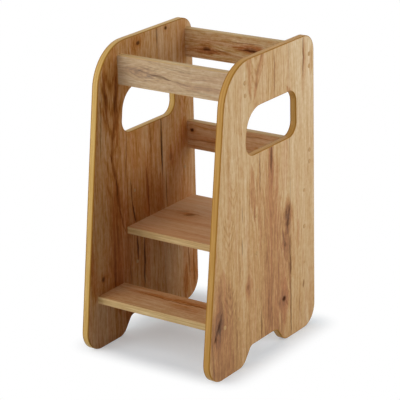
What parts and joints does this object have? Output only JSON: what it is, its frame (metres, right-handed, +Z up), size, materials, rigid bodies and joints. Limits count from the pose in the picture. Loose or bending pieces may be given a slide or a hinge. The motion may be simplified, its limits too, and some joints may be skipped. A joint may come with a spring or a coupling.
{
  "type": "toddler kitchen helper stool",
  "caption": "Open-topped standing tower of wood-decor boards: side panels with hand holes and feet, guard rails, a step and a standing platform that can be set at other heights.",
  "frame": {"origin": "on the floor, under the middle of the stool", "axes": "+X across the stool from one side panel to the other, +Y from the step's side to the rear rails, +Z up"},
  "size_m": [0.4024, 0.5, 0.8],
  "materials": {
    "side_decor": "rustic golden oak melamine foil on chipboard, grain upright",
    "cross_decor": "rustic golden oak melamine foil on chipboard, grain across the stool",
    "edge_band": "2 mm ABS edge band, golden oak print, rounded arrises",
    "cap_plastic": "moulded plastic, oak colour",
    "screw_steel": "zinc-plated steel"
  },
  "bodies": {
    "root": {"left_side_panel": "side_decor", "left_panel_edge_band": "edge_band", "left_hand_hole_edge_band": "edge_band", "right_side_panel": "side_decor", "right_panel_edge_band": "edge_band", "right_hand_hole_edge_band": "edge_band", "front_top_rail": "cross_decor", "front_top_rail_upper_edge_band": "edge_band", "front_top_rail_lower_edge_band": "edge_band", "rear_top_rail": "cross_decor", "rear_top_rail_upper_edge_band": "edge_band", "rear_top_rail_lower_edge_band": "edge_band", "rear_middle_rail": "cross_decor", "rear_middle_rail_upper_edge_band": "edge_band", "rear_middle_rail_lower_edge_band": "edge_band", "standing_platform": "cross_decor", "platform_front_edge_band": "edge_band", "platform_rear_edge_band": "edge_band", "lower_step": "cross_decor", "step_front_edge_band": "edge_band", "step_rear_edge_band": "edge_band", "front_top_rail_screws": "screw_steel", "front_top_rail_screw_caps": "cap_plastic", "rear_top_rail_screws": "screw_steel", "rear_top_rail_screw_caps": "cap_plastic", "rear_middle_rail_screws": "screw_steel", "rear_middle_rail_screw_caps": "cap_plastic", "standing_platform_screws": "screw_steel", "standing_platform_screw_caps": "cap_plastic", "lower_step_screws": "screw_steel", "lower_step_screw_caps": "cap_plastic", "spare_hole_outer_plugs": "cap_plastic", "spare_hole_inner_plugs": "cap_plastic"}
  },
  "joints": []
}
